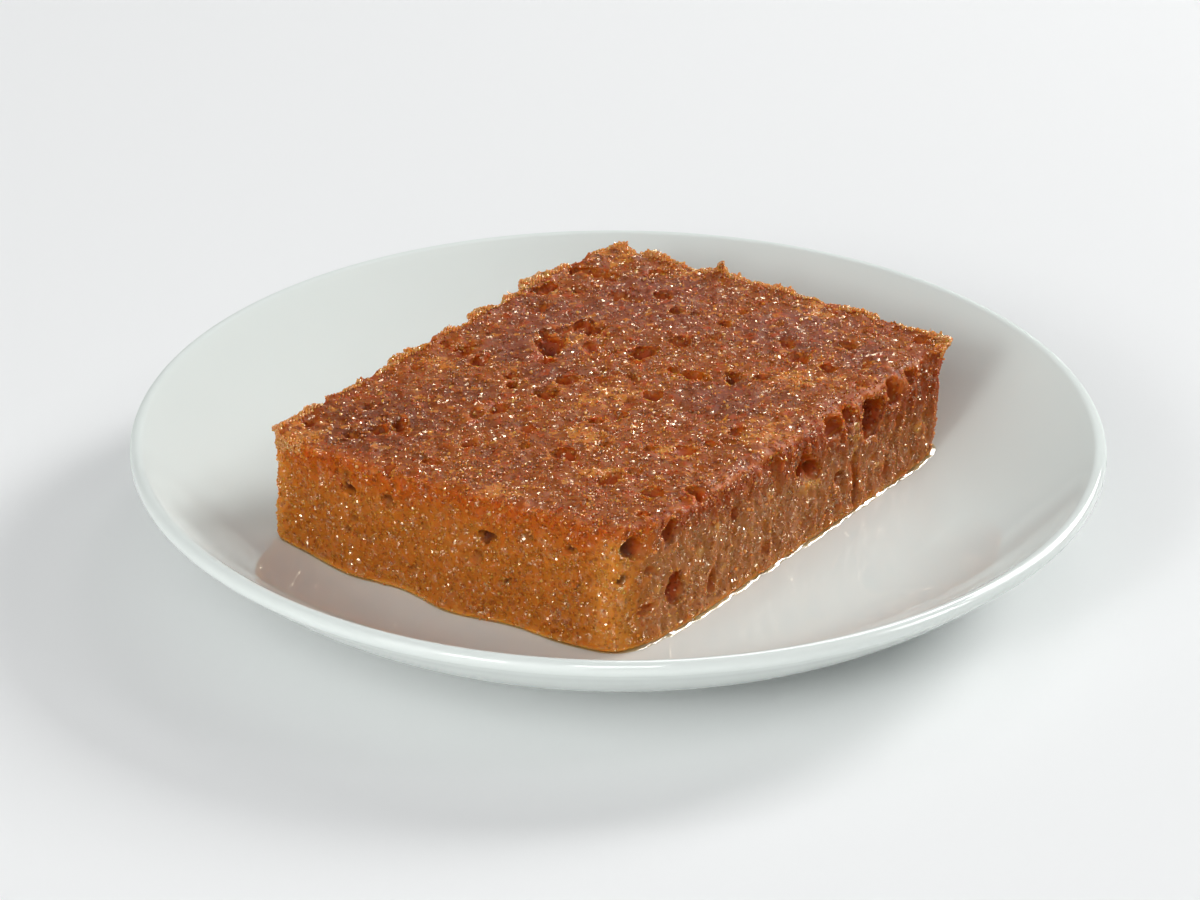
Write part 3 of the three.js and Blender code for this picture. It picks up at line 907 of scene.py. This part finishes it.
class Finish:
    """A material made of nodes."""

    def __init__(self, name):
        self.material = bpy.data.materials.new(name)
        self.material.use_nodes = True
        self.tree = self.material.node_tree
        self.tree.nodes.clear()

    def node(self, kind, settings, inputs):
        made = self.tree.nodes.new(kind)
        for key, setting in settings.items():
            setattr(made, key, setting)
        for key, given in inputs.items():
            if isinstance(given, Value):
                self.tree.links.new(given.socket, made.inputs[key])
            else:
                made.inputs[key].default_value = given
        return made

    def value(self, kind, settings, inputs, output=0):
        return Value(self, self.node(kind, settings, inputs).outputs[output])

    def place(self):
        return self.value("ShaderNodeTexCoord", {}, {}, "Object")

    def painted(self, name):
        return self.value("ShaderNodeAttribute", {"attribute_name": name}, {}, "Fac")

    def math(self, operation, *inputs):
        return self.value("ShaderNodeMath", {"operation": operation}, dict(enumerate(inputs)))

    def noise(self, scale, detail=2.0, rough=0.5):
        inputs = {"Vector": self.place(), "Scale": scale, "Detail": detail, "Roughness": rough}
        return self.value("ShaderNodeTexNoise", {}, inputs, "Fac")

    def between(self, value, low, high):
        """0 where the value is low, 1 where it is high."""
        settings = {"interpolation_type": "SMOOTHSTEP"}
        return self.value("ShaderNodeMapRange", settings, {"Value": value, "From Min": low, "From Max": high})

    def vector(self, operation, *inputs):
        return self.value("ShaderNodeVectorMath", {"operation": operation}, dict(enumerate(inputs)))

    def cells(self, scale, output):
        """Random cells: Color is a different one for each cell, Distance the way from its middle."""
        inputs = {"Vector": self.place(), "Scale": scale}
        return self.value("ShaderNodeTexVoronoi", {}, inputs, output)

    def facets(self, scale, spread):
        """Turns the surface a different way in each cell, as wet granules do."""
        normal = self.value("ShaderNodeNewGeometry", {}, {}, "Normal")
        turn = self.vector("SUBTRACT", self.cells(scale, "Color"), (0.5, 0.5, 0.5))
        turned = self.vector("MULTIPLY", turn, (spread, spread, spread))
        return self.vector("NORMALIZE", self.vector("ADD", normal, turned))

    def mix(self, factor, first, second):
        """Mixes two colours; the node has its colours on sockets 6 and 7 and its answer on 2."""
        return self.value("ShaderNodeMix", {"data_type": "RGBA"}, {0: factor, 6: first, 7: second}, 2)

    def overlay(self, share, below, above):
        """Mixes two shaders: share is how much of the second one shows."""
        return self.value("ShaderNodeMixShader", {}, {0: share, 1: below, 2: above})

    def bump(self, height, strength, distance, normal=None):
        inputs = {"Height": height, "Strength": strength, "Distance": distance}
        if normal is not None:
            inputs["Normal"] = normal
        return self.value("ShaderNodeBump", {}, inputs)

    def body(self, inputs):
        return self.value("ShaderNodeBsdfPrincipled", {}, inputs)

    def glossy(self, inputs):
        return self.value("ShaderNodeBsdfGlossy", {}, inputs)

    def covered(self, shader):
        """Closes the material with its surface."""
        self.node("ShaderNodeOutputMaterial", {}, {"Surface": shader})
        return self.material


def shade(red, green, blue):
    """A colour given as it looks on a screen, 0 to 255."""
    parts = [value / 255.0 for value in (red, green, blue)]
    linear = [p / 12.92 if p <= 0.04045 else ((p + 0.055) / 1.055) ** 2.4 for p in parts]
    return (*linear, 1.0)


def crumb_colour(f, tone, pit_and_pit_shade=0.0):
    """Golden, amber and brown by place; tone runs from 0 for dark granules to 1 for pale ones."""
    depth = f.painted("depth")
    side = f.painted("side")
    along = f.painted("along")
    golden = f.painted("golden")
    dusky = f.painted("dusky")
    pore = f.painted("pore")
    swell = f.noise(90.0, 3.0, 0.6)
    medium = f.noise(260.0, 3.0, 0.6)
    on_long = f.between(along, 0.03, 0.10)

    def toned(dark, middle, pale):
        lower = f.mix(f.between(tone, 0.0, 0.5), dark, middle)
        return f.mix(f.between(tone, 0.65, 1.0), lower, pale)

    top = toned(shade(140, 60, 6), shade(155, 76, 10), shade(202, 126, 40))
    brown = toned(shade(102, 38, 2), shade(116, 47, 4), shade(170, 94, 26))
    # Mauve: the crust's own mauve-grey with a painted sheen in it; brown towards the near end, mauve towards
    # the far end
    mauve_and_sheen = toned(shade(118, 58, 36), shade(138, 71, 47), shade(188, 118, 80))
    mauve_and_sheen = f.mix(f.between(along + swell * 0.2, 0.5, 0.75), brown, mauve_and_sheen)
    top = f.mix(f.between(dusky + swell * 0.8, 0.55, 1.2) * 0.8, top, mauve_and_sheen)
    top = f.mix(f.between(f.noise(170.0), 0.52, 0.66) * 0.5, top, shade(112, 48, 8))
    gold = toned(shade(184, 98, 26), shade(208, 126, 42), shade(238, 174, 80))
    bits = f.noise(420.0, 3.0, 0.6)
    top = f.mix(f.between(golden * 0.22 + bits + tone * 0.06, 0.63, 0.69) * 0.8, top, gold)
    top = f.mix(f.between(f.noise(330.0), 0.58, 0.66) * 0.7, top, shade(176, 70, 8))

    amber = toned(shade(158, 84, 18), shade(178, 100, 26), shade(216, 146, 60))
    grey = toned(shade(150, 86, 40), shade(174, 108, 55), shade(212, 152, 92))
    russet = toned(shade(128, 42, 0), shade(148, 59, 0), shade(196, 102, 18))
    low = f.between(depth + swell * 8.0 - along * 9.0, 3.0, 12.0)
    grey = f.mix(along * 0.6, grey, shade(148, 76, 30))
    body = f.mix(on_long, amber, f.mix(low, russet, grey))
    band = toned(shade(160, 62, 0), shade(180, 76, 2), shade(214, 120, 26))
    banded = f.between(depth + swell * 6.0 + tone, 12.5, 4.0) * (1.0 - on_long * 0.85)
    body = f.mix(banded * 0.8, body, band)
    on_top = f.between(depth - side * 0.25 + medium * 3.0 + swell * 2.0, 4.4, 1.2)
    colour = f.mix(on_top, body, top)
    # Painted light at the foot: a pale golden colour that lifts the contact shade along the plate, partly
    # also the syrup-soaked foot
    foot = f.between(f.painted("above_foot"), 1.6, 0.4)
    colour = f.mix(foot * 0.7, colour, f.mix(on_long, shade(232, 166, 76), shade(214, 140, 60)))
    # Painted glow: golden light through the thin near and left corners, strongest where the corner distance
    # is small
    edge = f.between(f.painted("corner") + swell * 4.0, 8.0, 3.0) * f.between(depth, 1.0, 4.0)
    colour = f.mix(edge * 0.65, colour, toned(shade(196, 116, 38), shade(216, 140, 54), shade(242, 184, 98)))
    colour = f.mix(f.between(f.painted("pale") + medium * 0.5, 0.6, 1.1) * 0.8, colour,
                   toned(shade(186, 118, 50), shade(206, 142, 72), shade(236, 182, 112)))
    # Pore insides: the soaked crumb's orange, painted paler against the shade they lie in; painted shade
    # darkens them deeper in and in the mouths of the small pits on the short side
    hollow = f.mix(medium, shade(146, 50, 6), shade(212, 98, 22))
    pit_mouth_shade = f.between(along, 0.06, 0.035) * f.between(depth, 1.5, 3.0)
    hollow = f.mix(pit_mouth_shade, hollow, shade(84, 26, 6))
    deep = f.between(f.math("MINIMUM", depth, side), 1.8, 5.0)
    colour = f.mix(pore * (1.0 - pore) * 2.0, colour, gold)
    colour = f.mix(pore * 0.9, colour, f.mix(deep * 0.75, hollow, shade(116, 40, 4)))
    # Painted shade in the small pits that the bump sinks
    colour = f.mix(pit_and_pit_shade * 0.7, colour, shade(124, 56, 12))
    # Painted light: the torn back edges coloured pale gold in place of the glow of light from behind
    torn = toned(shade(240, 134, 46), shade(252, 170, 84), shade(255, 216, 148))
    colour = f.mix(f.painted("fringe") * (0.8 - pore * 0.8), colour, torn)
    return f.mix(f.between(f.painted("proud") + medium * 0.4, 0.4, 0.62) * 0.3, colour, gold)


def crumb_finish():
    f = Finish("soaked_crumb")
    tone = f.between(f.noise(900.0), 0.2, 0.8) * 0.55 + 0.25
    size = f.noise(150.0) * 0.55
    upper = f.between(f.painted("depth"), 6.0, 1.0) * 0.15
    large = f.between(f.cells(420.0, "Distance") - size - upper, -0.14, -0.22)
    small = f.between(f.cells(900.0, "Distance") - size, 0.06, -0.04) * 0.6
    # Pits: sunk by the bump, and darkened by painted shade in the colour
    pit_and_pit_shade = f.math("MAXIMUM", large, small)
    grain = f.bump(f.noise(1100.0), 0.6, 0.2 * MM)
    skin = f.bump(1.0 - pit_and_pit_shade, 1.0, 0.4 * MM, grain)
    crumb = f.body({
        **SOAKED,
        "Base Color": crumb_colour(f, tone, pit_and_pit_shade),
        "Roughness": 0.5,
        "Subsurface Scale": 2.6 * MM,
        "Normal": skin,
    })
    glitter = f.glossy({"Color": GLINT_COLOUR, "Roughness": 0.1, "Normal": f.facets(2450.0, 1.7)})
    most = 0.19 - f.between(f.painted("depth"), 3.0, 1.0) * 0.04
    most = most - f.between(f.painted("along"), 0.03, 0.1) * 0.03
    most = most - f.between(f.painted("depth") + f.painted("side"), 4.0, 1.5) * 0.05
    damp = f.between(f.noise(210.0), 0.38, 0.54) * 0.5 + 0.6
    glints = f.between(f.noise(700.0, 1.0), 0.5, 0.63) * most * damp + 0.003
    return f.covered(f.overlay(glints * (1.0 - f.painted("pore") * 0.7), crumb, glitter))


def granule_finish(name, shine, glow, glow_colour, colours=None):
    """Wet granules: shine is the most glitter, and glow the share of light that comes through from behind."""
    f = Finish(name)
    tone = f.painted("tone") * 0.7 + 0.25
    colour = f.mix(tone, *colours) if colours else crumb_colour(f, tone)
    crumb = f.body({**SOAKED, "Base Color": colour, "Roughness": 0.4, "Subsurface Scale": 1.0 * MM})
    through = f.value("ShaderNodeBsdfTranslucent", {}, {"Color": glow_colour})
    lit = f.overlay(glow, crumb, through)
    glitter = f.glossy({"Color": GLINT_COLOUR, "Roughness": 0.2})
    wet = f.between(f.math("FRACT", f.painted("tone") * 7.0), 0.1, 0.5) * shine
    return f.covered(f.overlay(wet, lit, glitter))


def glaze_finish():
    """White glaze, glossy in the well and at the front of the rim, and duller on the rest of the rim."""
    f = Finish("white_glaze")
    colour = f.mix(f.noise(30.0), shade(224, 231, 227), shade(228, 234, 230))
    back = f.value("ShaderNodeSeparateXYZ", {}, {0: f.place()}, "Y")
    radius = f.value("ShaderNodeVectorMath", {"operation": "LENGTH"}, {0: f.place()}, "Value")
    in_well = f.between(radius, 68.0 * MM, 60.0 * MM)
    in_front = f.between(back, -5.0 * MM, -25.0 * MM)
    glossy = f.math("MAXIMUM", in_well, in_front)
    return f.covered(f.body({
        "Base Color": colour,
        "Roughness": 0.5,
        "Specular IOR Level": 0.0,
        "Coat Weight": glossy,
        "Coat Roughness": 0.06,
        "Normal": f.bump(f.noise(60.0), 0.05, 0.2 * MM),
    }))


def syrup_finish():
    f = Finish("clear_syrup")
    clear = f.value("ShaderNodeBsdfTransparent", {}, {"Color": shade(253, 240, 206)})
    wet = f.glossy({"Roughness": 0.08})
    return f.covered(f.overlay(0.2, clear, wet))


def floor_finish():
    f = Finish("pale_floor")
    tone = f.mix(f.noise(1.5), shade(240, 241, 241), shade(243, 244, 244))
    return f.covered(f.body({"Base Color": tone, "Roughness": 0.9, "Specular IOR Level": 0.1}))


# Studio

def camera():
    data = bpy.data.cameras.new("photo_camera")
    data.sensor_width = SENSOR_MM
    data.lens = LENS_MM
    data.clip_start = 0.05
    data.clip_end = 20.0
    seat = bpy.data.objects.new("photo_camera", data)
    back = Vector((0.0, -math.cos(CAMERA_RISE), math.sin(CAMERA_RISE)))
    right = Vector((1.0, 0.0, 0.0))
    up = back.cross(right)
    turned_right = right * math.cos(CAMERA_ROLL) + up * math.sin(CAMERA_ROLL)
    turned_up = up * math.cos(CAMERA_ROLL) - right * math.sin(CAMERA_ROLL)
    axes = Matrix((turned_right, turned_up, back)).transposed().to_4x4()
    seat.matrix_world = Matrix.Translation(CAMERA_TARGET + back * CAMERA_DISTANCE) @ axes
    bpy.context.scene.collection.objects.link(seat)
    bpy.context.scene.camera = seat


# Lamps that face the plate: degrees from +Y towards +X, degrees of rise, distance, width and power; the sheen
# lamps only show as mirrored light, and throw none on the matt parts
LAMPS = (
    ("key_back_right", 52, 28, 1.8, 0.56, 19.6),
    ("low_back", 22, 46, 1.8, 0.3, 1.6),
    ("low_right", 96, 38, 1.8, 0.3, 1.6),
    ("small_front_left", 212, 27, 1.8, 0.4, 6.0),
    ("broad_front_left", 210, 26, 1.6, 1.4, 11.0),
    ("sheen_key", 52, 32, 1.8, 1.1, 29.0),
    ("sheen_back", 14, 48, 1.8, 0.6, 8.5),
    ("sheen_right", 100, 36, 1.8, 0.6, 10.0),
    ("sheen_front", 180, 50, 1.8, 0.5, 7.0),
)
ROOM_COLOUR = (0.98, 0.99, 1.0, 1.0)
ROOM_LIGHT = 0.38


def hang_lamp(name, turn, rise, distance, width, power):
    data = bpy.data.lights.new(name, "AREA")
    data.shape = "SQUARE"
    data.size = width
    data.energy = power
    lamp = bpy.data.objects.new(name, data)
    turn, rise = math.radians(turn), math.radians(rise)
    way = Vector((math.sin(turn) * math.cos(rise), math.cos(turn) * math.cos(rise), math.sin(rise)))
    lamp.location = way * distance
    lamp.rotation_euler = way.to_track_quat("Z", "Y").to_euler()
    lamp.visible_diffuse = not name.startswith("sheen")
    bpy.context.scene.collection.objects.link(lamp)


def studio():
    world = bpy.data.worlds.new("pale_room")
    world.use_nodes = True
    room = world.node_tree.nodes["Background"]
    room.inputs["Color"].default_value = ROOM_COLOUR
    room.inputs["Strength"].default_value = ROOM_LIGHT
    bpy.context.scene.world = world
    bpy.context.scene.view_settings.view_transform = "Standard"
    for lamp in LAMPS:
        hang_lamp(*lamp)


def floor():
    bm = bmesh.new()
    bmesh.ops.create_grid(bm, x_segments=8, y_segments=8, size=3.0)
    piece = piece_from(bm, "pale_floor")
    piece.data.materials.append(floor_finish())


def dress(piece, finish, node=None):
    piece.data.materials.clear()
    piece.data.materials.append(finish)
    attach(piece, "root")
    if node:
        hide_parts(node)


camera()
studio()
floor()
soaked_slice, skin = slice_piece()
top_granules, side_granules, golden_crumbs, torn_edge_flakes = granule_pieces(soaked_slice, skin)
granules = granule_finish("wet_granules", 0.07, 0.05, shade(176, 96, 34))
# The golden crumbs' pale colours also paint part of the glow of light from behind; their glow share lets real
# light through
golden = granule_finish("golden_crumbs", 0.11, 0.6, shade(245, 182, 100),
                        (shade(230, 138, 58), shade(255, 206, 128)))
dress(soaked_slice, crumb_finish(), "kadayif_slice")
dress(top_granules, granules)
dress(side_granules, granules)
dress(golden_crumbs, golden)
dress(torn_edge_flakes, golden)
dress(plate_piece(), glaze_finish(), "plate")
dress(syrup_piece(), syrup_finish(), "syrup_line")
